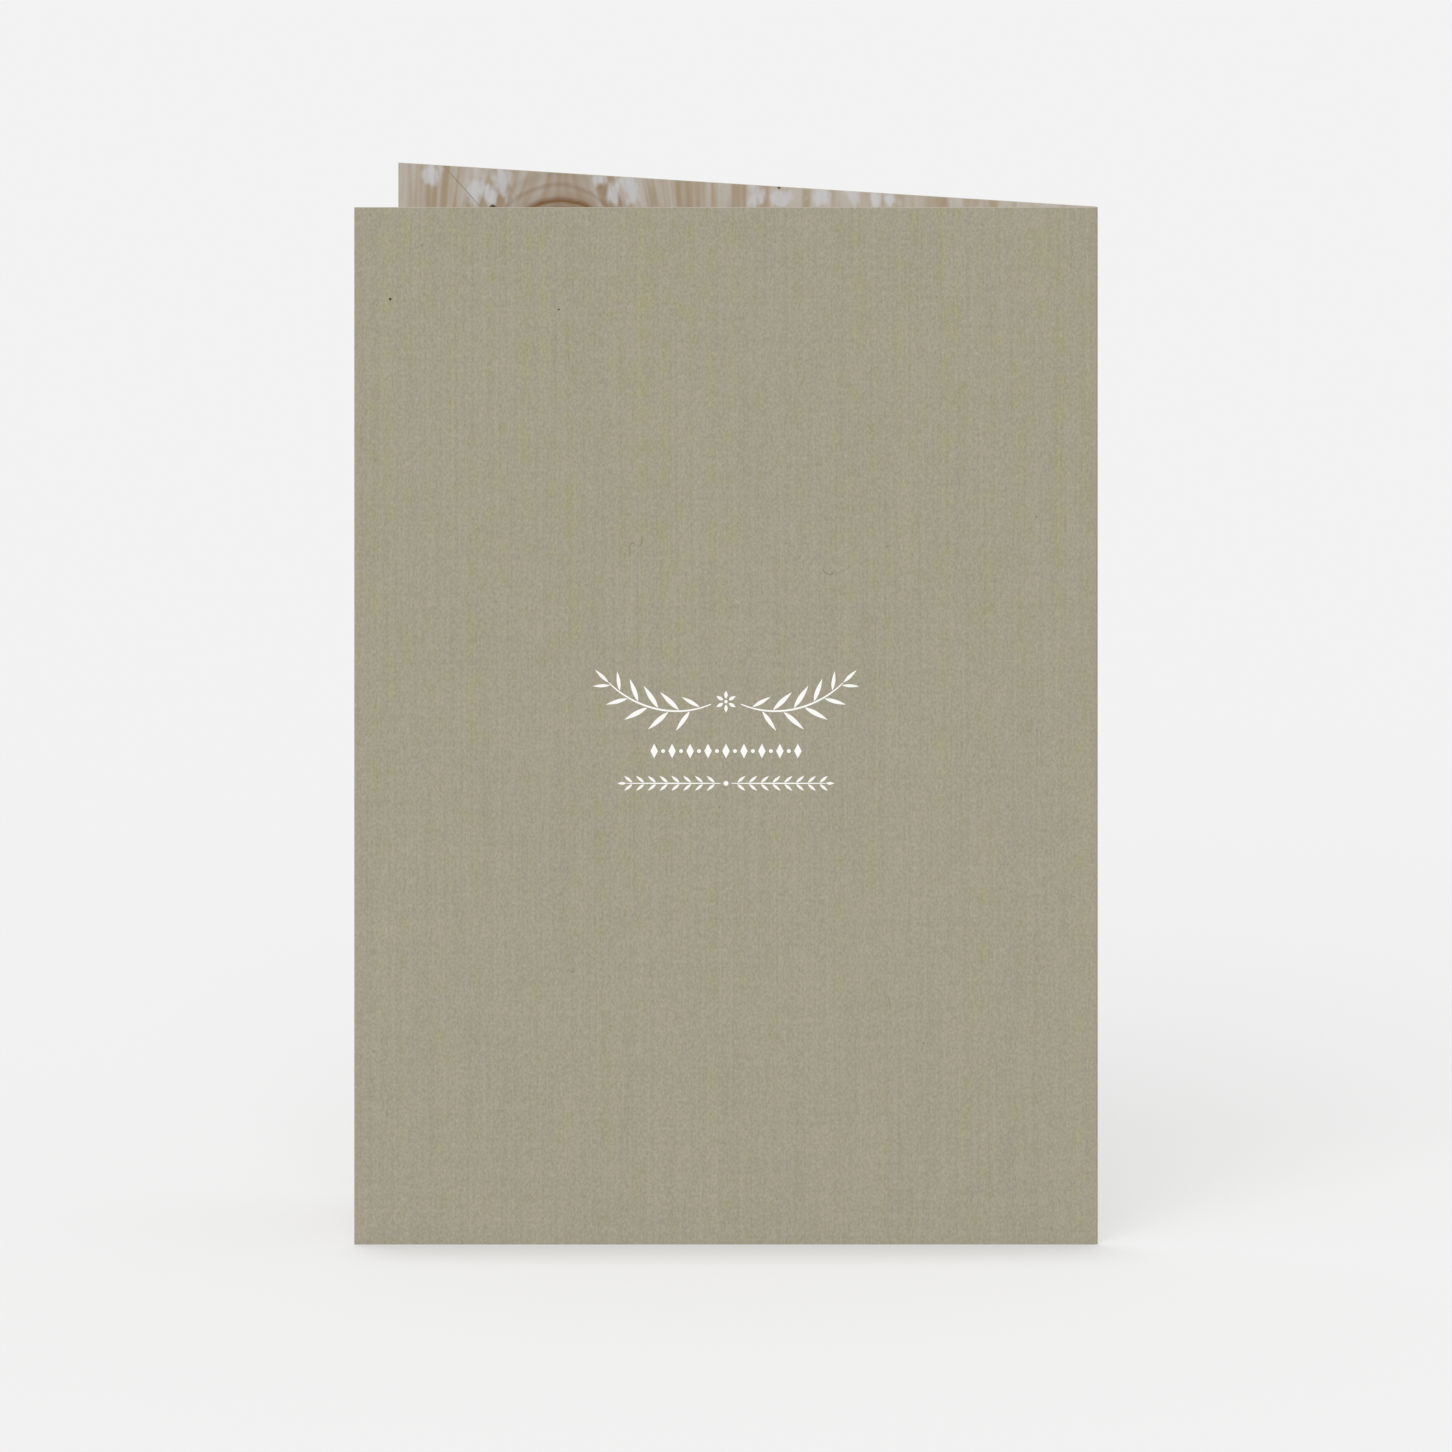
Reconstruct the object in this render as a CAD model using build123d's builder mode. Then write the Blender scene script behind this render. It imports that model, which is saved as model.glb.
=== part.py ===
from build123d import *

import os
from math import cos, radians, sin

# A folded invitation card: one sheet of heavy paper, scored once and folded into two equal leaves.
# It stands on its bottom edges with the leaves a little open, so that it is a narrow V from above.
# Millimetres, +Z up. The back leaf faces -Y, the fold is at +X, and the front leaf stands behind.
# The origin is at the middle of the footprint's box, on the surface that the card stands on.

# The sheet
leaf_width = 120.0  # folded width, from the outside of the fold to a leaf's free edge
card_height = 170.0
sheet_thickness = 0.40

# The fold
opening_angle = 19.8  # degrees between the leaves
inside_radius = 0.15  # from the bend's centre to the inner face of either leaf
score_depth = 0.05  # how far the score presses the outside of the fold into the sheet
score_shoulder = 0.45  # the run over which a leaf's outer face dips into the score
bead_width = 0.15  # from the bend's centre to where the bead leaves a leaf's inner face
bead_height = 0.10  # how far the bead that the score raises stands up inside the fold

# The bend's radii, on the leaves' outer faces and in the score
outer_radius = inside_radius + sheet_thickness
spine_radius = outer_radius - score_depth
leaf_run = leaf_width - spine_radius

# The crease plane halves the angle between the leaves, and each leaf is the other's mirror image in it
half_angle = radians(opening_angle / 2)
into_fold = Vector(-cos(half_angle), sin(half_angle))
across_fold = Vector(sin(half_angle), cos(half_angle))
crease_plane = Plane((0, 0, 0), x_dir=into_fold, z_dir=across_fold)

# The bend's centre stands where the footprint's box comes out centred on the origin
front_reach = leaf_run * sin(2 * half_angle) + outer_radius * cos(2 * half_angle)
bend_x = (leaf_run - spine_radius) / 2
bend_y = (outer_radius - front_reach) / 2
footprint = Plane((bend_x, bend_y, 0))

bead_foot = Vector(-bead_width, -inside_radius)
bead_top = into_fold * (bead_foot.dot(into_fold) + bead_height)

with BuildPart() as folded_card:
    with BuildSketch(footprint):
        with BuildLine():
            # The back leaf and its half of the fold, from the spine round the sheet's edge to the bead
            spine = CenterArc((0, 0), spine_radius, 270, 90 - opening_angle / 2)
            shoulder = Line(spine @ 0, (-score_shoulder, -outer_radius))
            outer_face = Line(shoulder @ 1, (-leaf_run, -outer_radius))
            free_edge = Line(outer_face @ 1, (-leaf_run, -inside_radius))
            inner_face = Line(free_edge @ 1, bead_foot)
            TangentArc(bead_top, inner_face @ 1, tangent=-across_fold)
            # The front leaf
            mirror(about=crease_plane)
        make_face()
    extrude(amount=card_height)

folded_card.part.label = "folded_card"

os.makedirs("parts", exist_ok=True)
export_step(folded_card.part, "parts/folded_card.step")
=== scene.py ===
"""A printed invitation card: one scored and folded sheet, its inks and the stage that it stands on."""

from math import asin, atan2, cos, degrees, pi, radians, sin, sqrt, tau

import bmesh
import bpy
from bpy.props import FloatProperty, FloatVectorProperty, IntProperty, PointerProperty
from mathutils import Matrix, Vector
from mathutils.geometry import interpolate_bezier


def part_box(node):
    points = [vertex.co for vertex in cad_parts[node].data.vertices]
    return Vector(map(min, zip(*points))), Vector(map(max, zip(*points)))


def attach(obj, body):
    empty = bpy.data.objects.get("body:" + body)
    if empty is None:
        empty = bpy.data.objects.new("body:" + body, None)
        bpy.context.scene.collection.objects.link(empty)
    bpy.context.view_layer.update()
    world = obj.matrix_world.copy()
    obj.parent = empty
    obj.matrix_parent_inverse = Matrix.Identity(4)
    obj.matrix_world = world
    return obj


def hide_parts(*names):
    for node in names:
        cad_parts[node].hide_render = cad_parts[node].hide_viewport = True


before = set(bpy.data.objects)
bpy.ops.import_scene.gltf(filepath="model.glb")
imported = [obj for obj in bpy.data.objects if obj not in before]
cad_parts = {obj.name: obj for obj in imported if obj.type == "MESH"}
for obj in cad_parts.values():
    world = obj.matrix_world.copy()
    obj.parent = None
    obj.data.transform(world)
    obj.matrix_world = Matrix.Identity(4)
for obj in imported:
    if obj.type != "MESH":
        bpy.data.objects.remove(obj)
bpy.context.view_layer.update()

bl_info = {
    "name": "Folded Invitation Card",
    "version": (1, 0, 0),
    "blender": (4, 5, 0),
    "location": "View3D > Sidebar > Card",
    "description": "Builds a scored, folded and printed invitation card around its packed solid",
    "category": "Add Mesh",
}

NODE = "folded_card"
BODY = "root"
MM = 0.001
UPWARDS = Vector((0, 0, 1))

node_low, node_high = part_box(NODE)
node_size = node_high - node_low


# What a user may change

def display(red, green, blue):
    """The scene-linear colour that shows as these 8-bit values."""
    def linear(value):
        share = value / 255
        return share / 12.92 if share <= 0.04045 else ((share + 0.055) / 1.055) ** 2.4
    return linear(red), linear(green), linear(blue)


def length(name, description, millimetres):
    """A length, in Blender's own unit."""
    return FloatProperty(
        name=name, description=description, default=millimetres * MM,
        unit="LENGTH", subtype="DISTANCE", precision=6,
    )


def colour(name, description, red, green, blue):
    """A colour, given as it shows on screen."""
    return FloatVectorProperty(
        name=name, description=description, default=display(red, green, blue),
        subtype="COLOR", size=3, min=0.0, max=1.0,
    )


def angle(name, description, turn):
    """An angle, given in degrees."""
    return FloatProperty(
        name=name, description=description, default=radians(turn), subtype="ANGLE", unit="ROTATION",
    )


def strength(name, description, value):
    """A strength of light, where 1 alone would show a facing colour as written."""
    return FloatProperty(name=name, description=description, default=value, min=0.0)


class CardSheetSettings(bpy.types.PropertyGroup):
    """The sheet and its fold."""

    thickness: length("Thickness", "Of the card stock", 0.40)
    opening: angle("Opening", "Between the two leaves", 19.8)
    inside_radius: length("Inside radius", "From the bend's centre to a leaf's inner face", 0.15)
    score_depth: length("Score depth", "How far the score presses into the sheet", 0.05)
    score_shoulder: length("Score shoulder", "Run over which a leaf dips into the score", 0.45)
    bead_width: length("Bead width", "From the bend's centre to the bead's foot", 0.15)
    bead_height: length("Bead height", "Of the ridge that the score raises inside the fold", 0.10)
    fold_steps: IntProperty(name="Fold steps", description="Facets round the fold", default=24, min=4)


class CardPaperSettings(bpy.types.PropertyGroup):
    """The colours of the sheet, its print and its cut edges."""

    kraft: colour("Kraft", "The printed ground", 164, 157.5, 139)
    kraft_streak: colour("Kraft streaks", "Yellow streaks in the printed ground", 165, 160.5, 128)
    fleck: colour("Hairs", "Fine hairs and faint specks in the print", 142, 136, 117)
    speck: colour("Specks", "The darkest specks and the nail heads in the print", 62, 58, 50)
    board_dark: colour("Boards, dark", "Late wood in the boards printed inside", 178, 158, 134)
    board_light: colour("Boards, light", "Early wood in the boards printed inside", 199, 192, 182)
    board_stain: colour("Boards, stain", "Yellowed places in the boards printed inside", 166, 145, 112)
    whitewash: colour("Whitewash", "Worn paint on the boards printed inside", 212, 212, 213)
    knot: colour("Knot", "The knot in the boards printed inside", 130, 96, 60)
    stock: colour("Stock", "The unprinted inside of the sheet", 236, 233, 225)
    # Cut edges: darker than the white stock, partly ink on the edges and partly painted shade, so that
    # they stand out less
    edge: colour("Cut edges", "The sheet's fibres along its cut edges", 182, 176, 160)
    ink: colour("White print", "The ornament on the back leaf", 254, 253, 249)


class CardPrintSettings(bpy.types.PropertyGroup):
    """The ornament printed on the back leaf."""

    sprig_height: length("Sprig height", "From the bottom edge to the middle of the sprig", 89.9)
    sprig_reach: length("Sprig reach", "From the middle of the leaf to either end of the sprig", 22.0)
    beads_height: length("Bead row height", "From the bottom edge to the row of beads", 80.9)
    beads_reach: length("Bead row reach", "From the middle of the leaf to either end of the row", 12.2)
    garland_height: length("Garland height", "From the bottom edge to the garland", 75.6)
    garland_reach: length("Garland reach", "From the middle of the leaf to either end of it", 17.5)
    line_width: length("Line width", "Of the sprig's stem", 0.30)
    garland_line: length("Garland line", "Width of the garland's stem", 0.21)
    film: length("Film", "Thickness of the print", 0.012)


class CardStageSettings(bpy.types.PropertyGroup):
    """The floor, the light and the camera."""

    elevation: angle("Camera elevation", "Of the camera above the horizon", 10.1)
    view_width: length("View width", "Of the square picture, at the card", 234.4)
    backdrop: colour("Backdrop", "Of what the camera sees past the floor", 243, 243, 243)
    floor_seen: colour("Floor, seen", "Of the floor, as the camera sees it", 197, 197, 197)
    floor_glow: strength("Floor glow", "Part of the backdrop that the floor shows in shade too", 0.28)
    floor_bounce: colour("Floor, bounce", "Of the floor, for the light it throws back", 140, 140, 140)
    floor_level: strength("Floor level", "Even light from the floor", 0.67)
    sky_level: strength("Sky level", "Even light from all round", 0.60)
    front_level: strength("Front level", "Of the broad light before the card", 0.32)
    top_level: strength("Top level", "Of the light above and a little behind the card", 0.34)


# Materials

def as_colour(value):
    """A socket as it is, or a colour with its alpha added."""
    return value if isinstance(value, bpy.types.NodeSocket) else (*value, 1.0)


class Nodes:
    """The node tree of one new material, with a Principled surface to link to."""

    GRAIN_SPAN = (0.3, 0.7)  # nearly all of a noise lies between these

    def __init__(self, name):
        self.material = bpy.data.materials.new(name)
        self.material.use_nodes = True
        self.tree = self.material.node_tree
        self.surface = self.tree.nodes["Principled BSDF"]
        self.surface.inputs["Specular IOR Level"].default_value = 0.2
        self.place = self.add("ShaderNodeTexCoord").outputs["Object"]

    def add(self, kind, inputs=None, **settings):
        """A new node; an input takes a plain value or another node's output."""
        made = self.tree.nodes.new(kind)
        for name, value in settings.items():
            setattr(made, name, value)
        for key, value in (inputs or {}).items():
            if isinstance(value, bpy.types.NodeSocket):
                self.tree.links.new(value, made.inputs[key])
            else:
                made.inputs[key].default_value = value
        return made

    def noise(self, across, along, detail=2.0, start=0.0, place=None):
        """Noise whose grain is so long across and along the sheet, in millimetres."""
        scale = (1 / (across * MM), 1 / (across * MM), 1 / (along * MM))
        source = self.place if place is None else place
        spot = self.add(
            "ShaderNodeMapping",
            {"Vector": source, "Location": (start, start, start), "Scale": scale},
        )
        return self.add(
            "ShaderNodeTexNoise",
            {"Vector": spot.outputs[0], "Scale": 1.0, "Detail": detail},
        ).outputs["Fac"]

    def math(self, operation, first, second=0.0):
        """A sum, product or other operation on numbers."""
        return self.add("ShaderNodeMath", {0: first, 1: second}, operation=operation).outputs[0]

    def vector(self, operation, first, second):
        """A sum, product or other operation on vectors."""
        return self.add("ShaderNodeVectorMath", {0: first, 1: second}, operation=operation).outputs[0]

    def total(self, first, *others):
        """The sum of several numbers."""
        for other in others:
            first = self.math("ADD", first, other)
        return first

    def swing(self, *weighted):
        """The sum of one or more noises, each about its middle and times its weight."""
        middled = [(self.math("SUBTRACT", noise, 0.5), weight) for noise, weight in weighted]
        return self.total(*(self.math("MULTIPLY", noise, weight) for noise, weight in middled))

    def step(self, value, low, high, start=0.0, end=1.0):
        """A smooth step from start to end, while value goes from low to high."""
        return self.add(
            "ShaderNodeMapRange",
            {"Value": value, "From Min": low, "From Max": high, "To Min": start, "To Max": end},
            interpolation_type="SMOOTHSTEP",
        ).outputs["Result"]

    def blend(self, factor, first, second, mode="MIX"):
        """Two colours, blended."""
        inputs = {0: factor, 6: as_colour(first), 7: as_colour(second)}
        return self.add("ShaderNodeMix", inputs, data_type="RGBA", blend_type=mode).outputs[2]

    def axis(self, name):
        """How far along the X, Y or Z axis a place is."""
        return self.add("ShaderNodeSeparateXYZ", {0: self.place}).outputs[name]

    def reach(self, offset, wide, high):
        """How far an offset leads, where 1 is the edge of an oval so wide and high from its middle."""
        share = self.vector("DIVIDE", offset, (wide * MM, wide * MM, high * MM))
        return self.add("ShaderNodeVectorMath", {0: share}, operation="LENGTH").outputs["Value"]

    def ramp(self, value, stops):
        """A grey level that runs through stops of place and level."""
        made = self.add("ShaderNodeValToRGB", {0: value})
        points = made.color_ramp.elements
        while len(points) < len(stops):
            points.new(1.0)
        for point, (place, level) in zip(points, stops):
            point.position = place
            point.color = (level, level, level, 1.0)
        return made.outputs[0]

    def lighten(self, paint, amount):
        """A colour made lighter or darker by a swing about 0."""
        level = self.math("ADD", amount, 1.0)
        grey = self.add("ShaderNodeCombineColor", {0: level, 1: level, 2: level})
        return self.blend(1.0, paint, grey.outputs[0], "MULTIPLY")

    def finish(self, paint, grain, rough, smooth, depth):
        """Links the colour, and a roughness and a bump so deep in millimetres that follow the grain."""
        bump = self.add("ShaderNodeBump", {"Height": grain, "Strength": 1.0, "Distance": depth * MM})
        roughness = self.step(grain, *self.GRAIN_SPAN, rough, smooth)
        self.tree.links.new(paint, self.surface.inputs["Base Color"])
        self.tree.links.new(roughness, self.surface.inputs["Roughness"])
        self.tree.links.new(bump.outputs[0], self.surface.inputs["Normal"])
        return self.material


def kraft_print(paper):
    """The kraft ground: fine grain over upright yellow streaks, more of them towards the top."""
    nodes = Nodes("kraft_print")
    streaks = nodes.noise(across=2.0, along=90.0, start=3.0)
    mottle = nodes.noise(across=2.0, along=3.0, detail=1.6, start=7.0)
    clouds = nodes.noise(across=6.0, along=8.0, start=29.0)
    upright = nodes.noise(across=0.36, along=40.0, start=11.0)
    level = nodes.noise(across=40.0, along=0.55, detail=1.0, start=17.0)
    grain = nodes.noise(across=0.30, along=0.48, detail=3.0, start=5.0)

    # The ground is plain kraft where the tint is 1 or more, and yellower below that
    plain = nodes.step(nodes.axis("Z"), node_low.z, node_high.z, start=1.30, end=0.98)
    tint = nodes.math("ADD", nodes.swing((streaks, 2.0), (mottle, 2.5), (grain, 0.4)), plain)
    paint = nodes.blend(tint, paper.kraft_streak, paper.kraft)
    tone = nodes.swing((grain, 0.62), (upright, 0.19), (level, 0.06), (mottle, 0.06), (clouds, 0.06))
    return nodes.finish(nodes.lighten(paint, tone), grain, rough=0.95, smooth=0.82, depth=0.02)


# Knot and nails of the printed boards: from the fold, from the bottom edge, and radius, in millimetres
BOARD_KNOT = (91.6, 156.85, 8.8)
BOARD_NAILS = ((103.3, 163.6, 0.7), (54.2, 169.95, 0.36))
# How dark the knot is, from its heart outwards to so many of its radii
KNOT_SPAN = 2.0
KNOT_RINGS = (
    (0.0, 0.95), (0.10, 0.55), (0.20, 0.70), (0.30, 0.50), (0.38, 0.70), (0.43, 0.95), (0.455, 0.45),
    (0.475, 0.55), (0.49, 1.0), (0.51, 0.75), (0.54, 0.25), (0.60, 0.12), (0.64, 0.40), (0.68, 0.08),
    (0.76, 0.22), (0.82, 0.0), (1.0, 0.0),
)
# Dabs of whitewash: from the fold, from the bottom edge, half as wide and half as high, in millimetres
BOARD_DABS = (
    (113.7, 168.9, 1.5, 1.6), (106.0, 166.6, 1.4, 2.4), (103.7, 165.5, 1.3, 1.9),
    (101.7, 168.3, 1.8, 2.4), (85.0, 169.3, 1.3, 1.2), (82.6, 167.3, 1.2, 1.8),
    (79.9, 168.2, 1.5, 2.3), (58.0, 168.7, 1.3, 2.0), (54.2, 168.0, 2.0, 1.5),
    (46.9, 168.8, 1.8, 1.6), (41.5, 169.3, 1.2, 1.3), (37.5, 169.0, 1.2, 1.4), (35.0, 169.2, 1.4, 1.0),
)
# How far below the top edge the other whitewash sets in, and where all of it is there
PATCHES_START, PATCHES_FULL = 7 * MM, 14 * MM


def board_print(paper, page):
    """Printed boards with worn whitewash over the whole inside of the front leaf; painted light near the
    fold.
    """
    nodes = Nodes("board_print")

    def offset(spot):
        return nodes.vector("SUBTRACT", nodes.place, page.spot(*spot))

    # The grain flows round the knot
    *spot, radius = BOARD_KNOT
    away = offset(spot)
    reach = nodes.reach(away, radius, radius)
    near = nodes.math("EXPONENT", nodes.math("MULTIPLY", nodes.math("MULTIPLY", reach, reach), -0.5))
    pull = nodes.add("ShaderNodeVectorMath", {0: away, "Scale": near}, operation="SCALE").outputs[0]
    flow = nodes.vector("SUBTRACT", nodes.place, pull)
    drift = nodes.noise(across=7.0, along=60.0, detail=1.0, start=15.0, place=flow)
    bands = nodes.noise(across=1.2, along=120.0, detail=1.0, start=2.0, place=flow)
    fades = nodes.noise(across=1.6, along=18.0, detail=1.0, start=43.0, place=flow)
    stains = nodes.noise(across=3.0, along=14.0, detail=1.6, start=41.0, place=flow)
    # Painted light: the boards are made paler towards the fold, to offset the shade between the two
    # leaves there
    painted_fold_light = nodes.step(nodes.axis("X"), node_low.x, node_high.x, start=-0.08, end=0.25)
    wood = nodes.step(nodes.total(bands, nodes.swing((drift, 0.7), (fades, 0.6)), painted_fold_light), 0.24, 0.72)
    paint = nodes.blend(wood, paper.board_dark, paper.board_light)
    paint = nodes.blend(nodes.step(stains, 0.48, 0.72, end=0.65), paint, paper.board_stain)

    # The knot's rings wander a little
    wander = nodes.noise(across=9.0, along=9.0, detail=1.0, start=31.0)
    knot = nodes.math("ADD", reach, nodes.swing((wander, 0.3)))
    rings = nodes.ramp(nodes.math("DIVIDE", knot, KNOT_SPAN), KNOT_RINGS)
    paint = nodes.blend(rings, paint, paper.knot)

    # Whitewash is left in dabs: those along the top edge by place, the others anywhere below them
    patches = nodes.noise(across=2.9, along=10.0, detail=1.4, start=23.0)
    ragged = nodes.swing((nodes.noise(across=1.3, along=2.4, detail=1.2, start=37.0), 2.2))
    top = node_high.z
    below = nodes.step(nodes.axis("Z"), top - PATCHES_FULL, top - PATCHES_START, start=1.0, end=0.0)
    worn = nodes.math("MULTIPLY", nodes.step(patches, 0.49, 0.70), below)
    for across, up, wide, high in BOARD_DABS:
        edge = nodes.math("ADD", nodes.reach(offset((across, up)), wide, high), ragged)
        worn = nodes.math("MAXIMUM", worn, nodes.step(edge, 0.45, 1.45, start=1.0, end=0.0))

    # None is left on the knot, and less in the dark bands of the grain
    clear = nodes.math("MULTIPLY", nodes.step(knot, 1.0, 1.2), nodes.step(bands, 0.2, 0.6, start=0.7))
    paint = nodes.blend(nodes.math("MULTIPLY", worn, clear), paint, paper.whitewash)

    for *spot, radius in BOARD_NAILS:
        head = nodes.step(nodes.reach(offset(spot), radius, radius), 0.6, 1.0, start=0.9, end=0.0)
        paint = nodes.blend(head, paint, paper.speck)
    grain = nodes.noise(across=0.30, along=0.48, detail=3.0, start=5.0)
    # The grain's swing, and the painted light that makes the boards paler towards the fold
    paint = nodes.lighten(paint, nodes.total(nodes.swing((grain, 0.12)), painted_fold_light))
    return nodes.finish(paint, grain, rough=0.95, smooth=0.82, depth=0.02)


def bare_stock(name, tint):
    """The unprinted sheet, with its felt mottle and fine fibres."""
    nodes = Nodes(name)
    mottle = nodes.noise(across=2.5, along=3.0, start=1.0)
    fibre = nodes.noise(across=0.25, along=0.6, detail=3.0, start=13.0)
    shade = [value * 0.96 for value in tint]
    paint = nodes.lighten(nodes.blend(mottle, tint, shade), nodes.swing((fibre, 0.12)))
    return nodes.finish(paint, fibre, rough=0.95, smooth=0.84, depth=0.02)


def solid_ink(name, tint, unevenness):
    """A printed mark: a dense ink that the sheet's grain still shows through."""
    nodes = Nodes(name)
    grain = nodes.noise(across=0.32, along=0.55, detail=3.0, start=5.0)
    paint = nodes.lighten(tint, nodes.swing((grain, unevenness)))
    return nodes.finish(paint, grain, rough=0.92, smooth=0.80, depth=0.01)


# Pieces and the pages that print lies on

def new_piece(name, mesh_maker, materials):
    """A mesh piece that rides on the card's body, in the frame of its solid."""
    mesh = bpy.data.meshes.new(name)
    work = bmesh.new()
    mesh_maker(work)
    bmesh.ops.recalc_face_normals(work, faces=work.faces[:])
    work.to_mesh(mesh)
    work.free()
    for material in materials:
        mesh.materials.append(material)
    piece = bpy.data.objects.new(name, mesh)
    bpy.context.scene.collection.objects.link(piece)
    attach(piece, BODY)
    return piece


class Page:
    """One face of a leaf: an origin on its bottom edge, and the ways along it and off it."""

    def __init__(self, origin, along, off):
        self.origin = origin
        self.along = along
        self.off = off

    def spot(self, across, up, lift=0.0):
        """A place on the page or so far proud of it, in millimetres."""
        return self.origin + (self.along * across + UPWARDS * up + self.off * lift) * MM


def back_page(side=1):
    """The outer face of the back leaf, from the middle of it; on side -1 the drawing is mirrored."""
    return Page(Vector((0, node_low.y, node_low.z)), Vector((side, 0, 0)), Vector((0, -1, 0)))


# The sheet

class Fold:
    """The sheet's section, seen from above: the bend's centre, with a leaf on either side of it."""

    def __init__(self, sheet):
        self.outer = sheet.inside_radius + sheet.thickness
        self.spine = self.outer - sheet.score_depth
        self.inside = sheet.inside_radius
        self.run = node_size.x - self.spine
        self.half = sheet.opening / 2
        self.into = Vector((-cos(self.half), sin(self.half)))
        self.across = Vector((sin(self.half), cos(self.half)))
        self.centre = Vector((node_high.x - self.spine, node_low.y + self.outer))
        self.foot = Vector((-sheet.bead_width, -self.inside))
        self.bead_top = self.foot.dot(self.into) + sheet.bead_height
        self.shoulder = sheet.score_shoulder

    def mirrored(self, point):
        """The same place on the other leaf."""
        return point - 2 * point.dot(self.across) * self.across

    def outside(self, steps):
        """The outer face, from the back leaf's free edge round the spine to the front leaf's."""
        leaf = [Vector((-station, -self.outer)) for station in self.leaf_stations()]
        turn = pi / 2 - self.half
        arc = []
        for index in range(steps):
            heading = -pi / 2 + turn * index / steps
            arc.append(Vector((cos(heading), sin(heading))) * self.spine)
        return self.both_leaves(leaf + arc, -self.spine * self.into)

    def inner(self, steps):
        """The inner face, from the back leaf's free edge over the bead to the front leaf's."""
        wide = -self.foot.dot(self.across)
        rise = self.bead_top - self.foot.dot(self.into)
        radius = (wide * wide + rise * rise) / (2 * rise)
        turn = asin(min(wide / radius, 1.0))
        leaf = [Vector((-station, -self.inside)) for station in self.leaf_stations()]
        arc = []
        for index in range(steps):
            heading = turn * (1 - index / steps)
            out = self.bead_top - radius + radius * cos(heading)
            arc.append(self.into * out - self.across * radius * sin(heading))
        return self.both_leaves(leaf + arc, self.into * self.bead_top)

    def leaf_stations(self):
        """From the free edge to the score, with one more before it, so that the leaf shades flat."""
        return self.run, 2 * self.shoulder, self.shoulder

    def both_leaves(self, back, middle):
        """One face of the sheet: the back leaf's points, the crease, and their mirror image."""
        front = [self.mirrored(point) for point in reversed(back)]
        return [self.centre + point for point in [*back, middle, *front]]

    def front_page(self):
        """The inner face of the front leaf, from the bend outwards."""
        foot = (self.centre + self.mirrored(Vector((0, -self.inside)))).to_3d()
        foot.z = node_low.z
        return Page(foot, self.mirrored(Vector((-1, 0))).to_3d(), self.mirrored(Vector((0, 1))).to_3d())


KRAFT, BOARDS, PLAIN, EDGE = range(4)  # the sheet's materials, in their order on the mesh
SHARP_ANGLE = radians(30)
FORM_TOLERANCE = 0.02 * MM


class CARD_OT_fold_sheet(bpy.types.Operator):
    """Fold the printed sheet, in the form of its solid"""

    bl_idname = "card.fold_sheet"
    bl_label = "Fold Sheet"

    def execute(self, context):
        scene = context.scene
        sheet, paper = scene.card_sheet, scene.card_paper
        fold = Fold(sheet)
        outside = fold.outside(sheet.fold_steps)
        inside = fold.inner(sheet.fold_steps)
        materials = [
            kraft_print(paper), board_print(paper, fold.front_page()),
            # cut_edge: partly ink on the edges and partly painted shade
            bare_stock("bare_stock", paper.stock), bare_stock("cut_edge", paper.edge),
        ]
        piece = new_piece("card_sheet", lambda work: self.skin(work, outside, inside), materials)
        piece.data.set_sharp_from_angle(angle=SHARP_ANGLE)
        self.check_form(piece)
        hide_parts(NODE)
        return {"FINISHED"}

    def skin(self, work, outside, inside):
        """The sheet's two faces, its top and bottom edges, and its two free edges."""
        def column(points, height):
            return [work.verts.new((point.x, point.y, height)) for point in points]

        def face(material, *corners):
            made = work.faces.new(corners)
            made.material_index = material
            made.smooth = material != EDGE

        low_out, high_out = column(outside, node_low.z), column(outside, node_high.z)
        low_in, high_in = column(inside, node_low.z), column(inside, node_high.z)
        crease = len(outside) // 2
        for index in range(len(outside) - 1):
            after = index + 1
            inner = PLAIN if index < crease else BOARDS
            face(KRAFT, low_out[index], low_out[after], high_out[after], high_out[index])
            face(inner, low_in[after], low_in[index], high_in[index], high_in[after])
            face(EDGE, high_out[index], high_out[after], high_in[after], high_in[index])
            face(EDGE, low_out[after], low_out[index], low_in[index], low_in[after])
        for end in (0, -1):
            face(EDGE, low_out[end], high_out[end], high_in[end], low_in[end])

    def check_form(self, piece):
        """Stops the script if the sheet's box isn't its solid's."""
        for axis in range(3):
            reach = [vertex.co[axis] for vertex in piece.data.vertices]
            misses = abs(min(reach) - node_low[axis]), abs(max(reach) - node_high[axis])
            if max(misses) > FORM_TOLERANCE:
                raise RuntimeError("The folded sheet doesn't have the form of its solid")


# The print

LEAF_STEPS = 10
LEAF_BELLY = 0.85  # a leaf is widest in its middle at 1, and nearer to its base below that
LEAF_GAP = 0.05  # from a stem to a leaf, in millimetres
DOT_STEPS = 20
CURVE_STEPS = 32
STROKE_TIP = 0.35  # a stroke thins towards this share of its width


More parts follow.
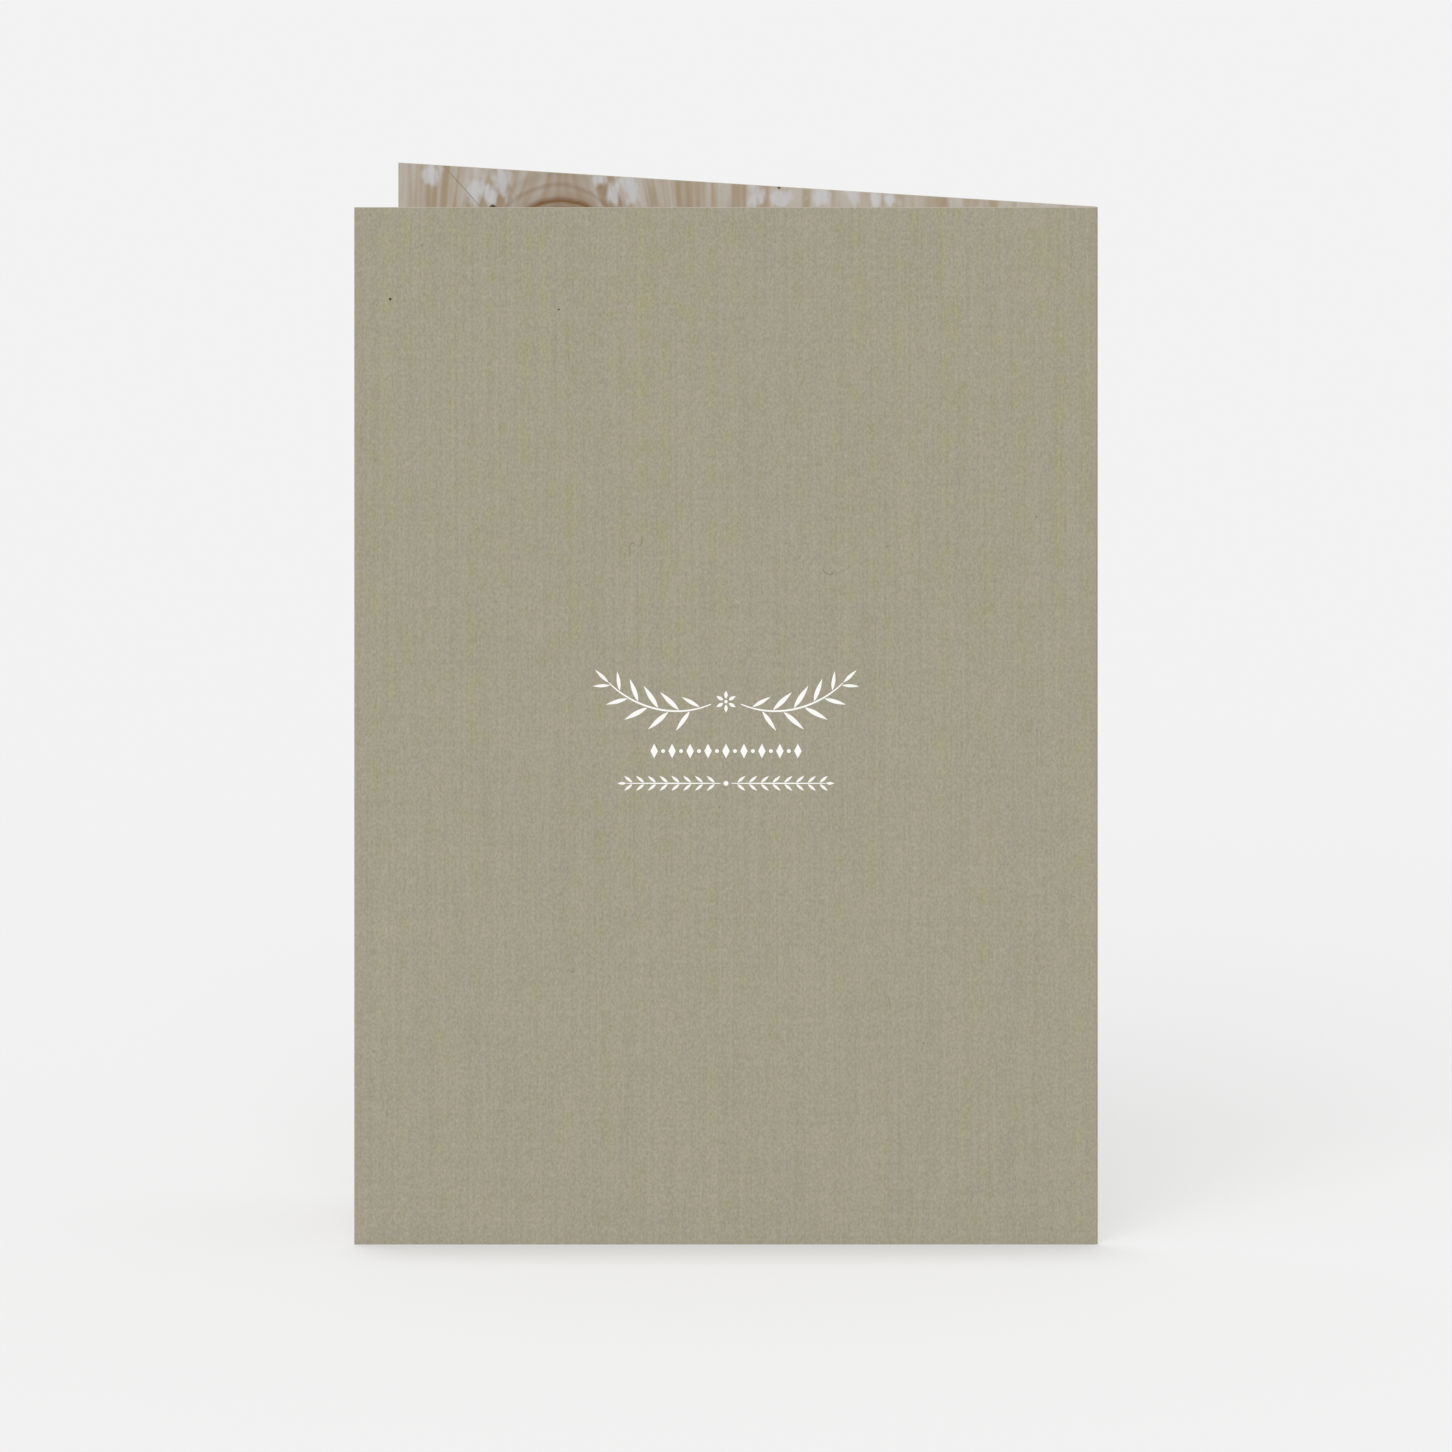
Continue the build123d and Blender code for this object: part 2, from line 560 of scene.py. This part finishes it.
class InkLayer:
    """Flat printed shapes on a page, drawn in millimetres."""

    def __init__(self, work, page, film):
        self.work = work
        self.page = page
        self.film = film

    def corners(self, outline):
        """The corners of a shape on top of the film, and those on the page."""
        return [
            [self.work.verts.new(self.page.spot(point.x, point.y, lift)) for point in outline]
            for lift in (self.film, 0.0)
        ]

    def shape(self, outline):
        """A filled shape."""
        top, foot = self.corners(outline)
        self.work.faces.new(top)
        self.work.faces.new(reversed(foot))
        for index in range(len(outline)):
            before = index - 1
            self.work.faces.new((top[before], top[index], foot[index], foot[before]))

    def stroke(self, path, width):
        """A line along a path that thins towards both ends."""
        rows = []
        last = len(path) - 1
        for index, point in enumerate(path):
            heading = path[min(index + 1, last)] - path[max(index - 1, 0)]
            side = Vector((-heading.y, heading.x)).normalized()
            swell = STROKE_TIP + (1 - STROKE_TIP) * sqrt(sin(pi * (index + 0.5) / (last + 1)))
            reach = side * width * swell / 2
            top, foot = self.corners((point + reach, point - reach))
            rows.append(top + foot)
        for (a, b, c, d), (e, f, g, h) in zip(rows, rows[1:]):
            for corners in ((a, b, f, e), (d, c, g, h), (a, e, g, c), (b, d, h, f)):
                self.work.faces.new(corners)
        for a, b, c, d in (rows[0], rows[-1]):
            self.work.faces.new((a, b, d, c))

    def leaf(self, base, heading, size, fullness, start=LEAF_GAP):
        """A pointed leaf that starts so far from its base; fullness is its width over its size."""
        ahead = Vector((cos(heading), sin(heading)))
        side = Vector((-ahead.y, ahead.x)) * size * fullness / 2
        steps = [index / LEAF_STEPS for index in range(LEAF_STEPS + 1)]
        middle = [base + ahead * (start + size * step) for step in steps]
        width = [side * sin(pi * step ** LEAF_BELLY) for step in steps]
        upper = [point + wide for point, wide in zip(middle, width)]
        lower = [point - wide for point, wide in zip(middle, width)]
        self.shape(upper + lower[-2:0:-1])

    def dot(self, centre, radius):
        """A round dot."""
        turns = [tau * index / DOT_STEPS for index in range(DOT_STEPS)]
        self.shape([centre + Vector((cos(turn), sin(turn))) * radius for turn in turns])

    def lozenge(self, centre, wide, high):
        """A square set on its corner and drawn out."""
        points = (Vector((wide, 0)), Vector((0, high)), Vector((-wide, 0)), Vector((0, -high)))
        self.shape([centre + point / 2 for point in points])


def bezier(*points):
    """Points along one cubic curve, in the leaf's plane."""
    ends = [Vector(point).to_3d() for point in points]
    return [spot.to_2d() for spot in interpolate_bezier(*ends, CURVE_STEPS)]


def clear_of(line, lean):
    """How far from a stem's middle a leaf that leans off it starts."""
    return line / 2 / sin(lean) + LEAF_GAP


class CARD_OT_print_ornament(bpy.types.Operator):
    """Print the white sprig, the row of beads and the garland on the back leaf"""

    bl_idname = "card.print_ornament"
    bl_label = "Print Ornament"

    def execute(self, context):
        scene = context.scene
        marks = scene.card_print
        film = marks.film / MM

        def make(work):
            for side in (1, -1):
                half = InkLayer(work, back_page(side), film)
                self.sprig(half, marks)
                self.garland(half, marks)
            whole = InkLayer(work, back_page(), film)
            self.blossom(whole, marks)
            self.beads(whole, marks)
            whole.dot(Vector((0, marks.garland_height / MM)), radius=0.40)

        white = solid_ink("white_print", scene.card_paper.ink, unevenness=0.05)
        new_piece("white_ornament", make, [white])
        return {"FINISHED"}

    def sprig(self, ink, marks):
        """Half of the sprig: a bowed stem with slim leaves by turns on both sides."""
        reach, height, line = marks.sprig_reach / MM, marks.sprig_height / MM, marks.line_width / MM
        bow = ((0.11, -0.06), (0.36, -0.17), (0.66, -0.10), (0.86, 0.10))
        stem = bezier(*((reach * across, height + reach * up) for across, up in bow))
        ink.stroke(stem, line)
        spacing, lean, slim = 3, radians(46), 0.18
        shortest, swell, lead, tip = 2.5, 1.9, 0.8, 3.0
        for spot in range(spacing, CURVE_STEPS - 1, spacing):
            ahead = stem[spot + 1] - stem[spot - 1]
            turn = 1 if spot % 2 else -1
            size = shortest + swell * sin(pi * (spot / CURVE_STEPS) ** lead)
            heading = atan2(ahead.y, ahead.x) + turn * lean
            ink.leaf(stem[spot], heading, size, slim, clear_of(line, lean))
        ahead = stem[-1] - stem[-2]
        ink.leaf(stem[-1], atan2(ahead.y, ahead.x), tip, slim)

    def blossom(self, ink, marks):
        """Petals round a dot, between the halves of the sprig."""
        drop, petals = 0.9, 6
        middle = Vector((0, marks.sprig_height / MM - drop))
        for index in range(petals):
            ink.leaf(middle, tau * (index + 0.5) / petals, size=1.3, fullness=0.42, start=0.5)
        ink.dot(middle, radius=0.28)

    def beads(self, ink, marks):
        """Lozenges and dots by turns."""
        wide, high, gaps = 1.2, 2.4, 8
        first = wide / 2 - marks.beads_reach / MM
        pitch = -2 * first / gaps
        for index in range(gaps + 1):
            centre = Vector((first + index * pitch, marks.beads_height / MM))
            ink.lozenge(centre, wide, high)
            if index < gaps:
                ink.dot(centre + Vector((pitch / 2, 0)), radius=0.32)

    def garland(self, ink, marks):
        """Half of a straight garland, with pairs of small leaves that lean outwards."""
        height, line = marks.garland_height / MM, marks.garland_line / MM
        start, tip, steps = 0.9, 1.4, 20
        ends = Vector((start, height)), Vector((marks.garland_reach / MM - tip, height))
        ink.stroke([ends[0].lerp(ends[1], step / steps) for step in range(steps + 1)], line)
        pairs, first, lean = 8, 0.4, radians(40)
        for index in range(pairs):
            base = ends[0].lerp(ends[1], (index + first) / pairs)
            for turn in (1, -1):
                ink.leaf(base, turn * lean, size=1.7, fullness=0.26, start=clear_of(line, lean))
        ink.leaf(ends[1], 0.0, size=tip - LEAF_GAP, fullness=0.32)


# Hairs and specks of the print, in millimetres: each hair is one curve, each speck a place and a radius
KRAFT_HAIRS = (
    ((-15.5, 113.1), (-15.9, 114.4), (-15.2, 115.9), (-14.6, 114.5)),
    ((-14.2, 114.7), (-13.6, 114.3), (-13.5, 115.2), (-13.5, 116.2)),
    ((15.6, 110.8), (16.2, 109.5), (17.3, 109.6), (17.6, 110.6)),
    ((26.2, 40.6), (26.4, 40.0), (26.3, 39.6), (26.5, 39.0)),
)
BOARD_HAIR = ((111.7, 169.9), (109.4, 167.7), (107.0, 165.2), (103.6, 161.9))
KRAFT_HAIR_WIDTH, BOARD_HAIR_WIDTH = 0.18, 0.108
DARK_SPECKS = ((-54.2, 155.0, 0.22), (-27.0, 153.3, 0.15))
FAINT_SPECKS = (
    (-56.8, 31.7, 0.18), (-24.9, 44.7, 0.18), (-1.1, 71.7, 0.17), (-49.1, 163.8, 0.18),
    (25.9, 114.4, 0.18), (31.9, 33.0, 0.17), (50.1, 119.3, 0.18), (-18.7, 35.8, 0.17),
)


class CARD_OT_print_flecks(bpy.types.Operator):
    """Print the few hairs and specks that stand out from the kraft ground and the boards"""

    bl_idname = "card.print_flecks"
    bl_label = "Print Flecks"

    def execute(self, context):
        scene = context.scene
        paper, film = scene.card_paper, scene.card_print.film / MM

        def hairs(work):
            ink = InkLayer(work, back_page(), film)
            for points in KRAFT_HAIRS:
                ink.stroke(bezier(*points), KRAFT_HAIR_WIDTH)
            self.dots(ink, FAINT_SPECKS)
            boards = InkLayer(work, Fold(scene.card_sheet).front_page(), film)
            boards.stroke(bezier(*BOARD_HAIR), BOARD_HAIR_WIDTH)

        def specks(work):
            self.dots(InkLayer(work, back_page(), film), DARK_SPECKS)

        new_piece("printed_hairs", hairs, [solid_ink("hair_print", paper.fleck, unevenness=0.2)])
        new_piece("printed_specks", specks, [solid_ink("speck_print", paper.speck, unevenness=0.2)])
        return {"FINISHED"}

    def dots(self, ink, specks):
        """Dots, each given by its place and radius."""
        for across, up, radius in specks:
            ink.dot(Vector((across, up)), radius)


# The stage

CAMERA_DISTANCE = 1.0
FLOOR_REACH = 4.0
FLOOR_GAP = 0.02 * MM


def towards(azimuth, elevation):
    """The direction from the card to a lamp or the camera; azimuth 0 is before the back leaf."""
    turn, rise = radians(azimuth), radians(elevation)
    return Vector((sin(turn) * cos(rise), -cos(turn) * cos(rise), sin(rise)))


def seen_rays(tree):
    """1 for what the camera sees, in gloss and through glass too, and 0 for all other light."""
    path = tree.nodes.new("ShaderNodeLightPath")
    seen = path.outputs["Is Camera Ray"]
    for ray in ("Is Glossy Ray", "Is Transmission Ray"):
        either = tree.nodes.new("ShaderNodeMath")
        either.operation = "MAXIMUM"
        tree.links.new(seen, either.inputs[0])
        tree.links.new(path.outputs[ray], either.inputs[1])
        seen = either.outputs[0]
    return seen


class CARD_OT_set_stage(bpy.types.Operator):
    """Lay the floor, light the card evenly and set up the camera"""

    bl_idname = "card.set_stage"
    bl_label = "Set Stage"

    def execute(self, context):
        scene = context.scene
        stage = scene.card_stage
        scene.view_settings.view_transform = "Standard"
        self.floor(scene, stage)
        self.sky(scene, stage)
        self.lamp(scene, "front_light", stage.front_level, azimuth=-14, elevation=40, spread=40)
        self.lamp(scene, "top_light", stage.top_level, azimuth=200, elevation=86.5, spread=8)
        self.camera(scene, stage)
        return {"FINISHED"}

    def floor(self, scene, stage):
        """A wide pale floor just under the card: it takes the shadow and gives even light from below."""
        mesh = bpy.data.meshes.new("floor")
        height = node_low.z - FLOOR_GAP
        sides = ((-1, -1), (1, -1), (1, 1), (-1, 1))
        corners = [(x * FLOOR_REACH, y * FLOOR_REACH, height) for x, y in sides]
        mesh.from_pydata(corners, [], [(0, 1, 2, 3)])
        nodes = Nodes("floor_paint")
        surface = nodes.surface.inputs
        surface["Roughness"].default_value = 1.0
        surface["Specular IOR Level"].default_value = 0.0
        surface["Emission Color"].default_value = as_colour(stage.backdrop)
        seen = seen_rays(nodes.tree)
        paint = nodes.blend(seen, stage.floor_bounce, stage.floor_seen)
        glow = nodes.step(seen, 0.0, 1.0, start=stage.floor_level, end=stage.floor_glow)
        nodes.tree.links.new(paint, surface["Base Color"])
        nodes.tree.links.new(glow, surface["Emission Strength"])
        mesh.materials.append(nodes.material)
        floor = bpy.data.objects.new("floor", mesh)
        scene.collection.objects.link(floor)

    def sky(self, scene, stage):
        """Even light from all round, which shows as the pale backdrop."""
        world = bpy.data.worlds.new("studio")
        scene.world = world
        world.use_nodes = True
        tree = world.node_tree
        light = tree.nodes["Background"]
        light.inputs["Color"].default_value = (1, 1, 1, 1)
        light.inputs["Strength"].default_value = stage.sky_level
        shown = tree.nodes.new("ShaderNodeBackground")
        shown.inputs["Color"].default_value = as_colour(stage.backdrop)
        pick = tree.nodes.new("ShaderNodeMixShader")
        tree.links.new(seen_rays(tree), pick.inputs[0])
        tree.links.new(light.outputs[0], pick.inputs[1])
        tree.links.new(shown.outputs[0], pick.inputs[2])
        tree.links.new(pick.outputs[0], tree.nodes["World Output"].inputs["Surface"])

    def lamp(self, scene, name, level, azimuth, elevation, spread):
        """A broad lamp far away; at level 1 it alone would show a facing colour as written."""
        data = bpy.data.lights.new(name, "SUN")
        data.energy = level * pi
        data.angle = radians(spread)
        lamp = bpy.data.objects.new(name, data)
        lamp.rotation_mode = "QUATERNION"
        lamp.rotation_quaternion = (-towards(azimuth, elevation)).to_track_quat("-Z", "Y")
        scene.collection.objects.link(lamp)

    def camera(self, scene, stage):
        """A parallel view of the back leaf from a little above it."""
        data = bpy.data.cameras.new("camera")
        data.type = "ORTHO"
        data.ortho_scale = stage.view_width
        camera = bpy.data.objects.new("camera", data)
        back = towards(0, degrees(stage.elevation))
        middle = Vector((0, node_low.y, (node_low.z + node_high.z) / 2))
        camera.location = middle + back * CAMERA_DISTANCE
        camera.rotation_mode = "QUATERNION"
        camera.rotation_quaternion = (-back).to_track_quat("-Z", "Y")
        scene.collection.objects.link(camera)
        scene.camera = camera


# The add-on

STEPS = (CARD_OT_set_stage, CARD_OT_fold_sheet, CARD_OT_print_flecks, CARD_OT_print_ornament)
SETTINGS = {
    "card_sheet": CardSheetSettings,
    "card_paper": CardPaperSettings,
    "card_print": CardPrintSettings,
    "card_stage": CardStageSettings,
}


class CARD_PT_sidebar(bpy.types.Panel):
    """The card's building steps, sizes and colours"""

    bl_label = "Invitation Card"
    bl_idname = "CARD_PT_sidebar"
    bl_space_type = "VIEW_3D"
    bl_region_type = "UI"
    bl_category = "Card"

    def draw(self, context):
        for step in STEPS:
            self.layout.operator(step.bl_idname)
        for name, group in SETTINGS.items():
            box = self.layout.box()
            box.label(text=group.__doc__)
            for setting in group.__annotations__:
                box.prop(getattr(context.scene, name), setting)


def register():
    for name, group in SETTINGS.items():
        bpy.utils.register_class(group)
        setattr(bpy.types.Scene, name, PointerProperty(type=group))
    for item in (*STEPS, CARD_PT_sidebar):
        bpy.utils.register_class(item)


def unregister():
    for item in (CARD_PT_sidebar, *reversed(STEPS)):
        bpy.utils.unregister_class(item)
    for name, group in SETTINGS.items():
        delattr(bpy.types.Scene, name)
        bpy.utils.unregister_class(group)


def main():
    register()
    bpy.ops.card.set_stage()
    bpy.ops.card.fold_sheet()
    bpy.ops.card.print_flecks()
    bpy.ops.card.print_ornament()


if __name__ == "__main__":
    main()
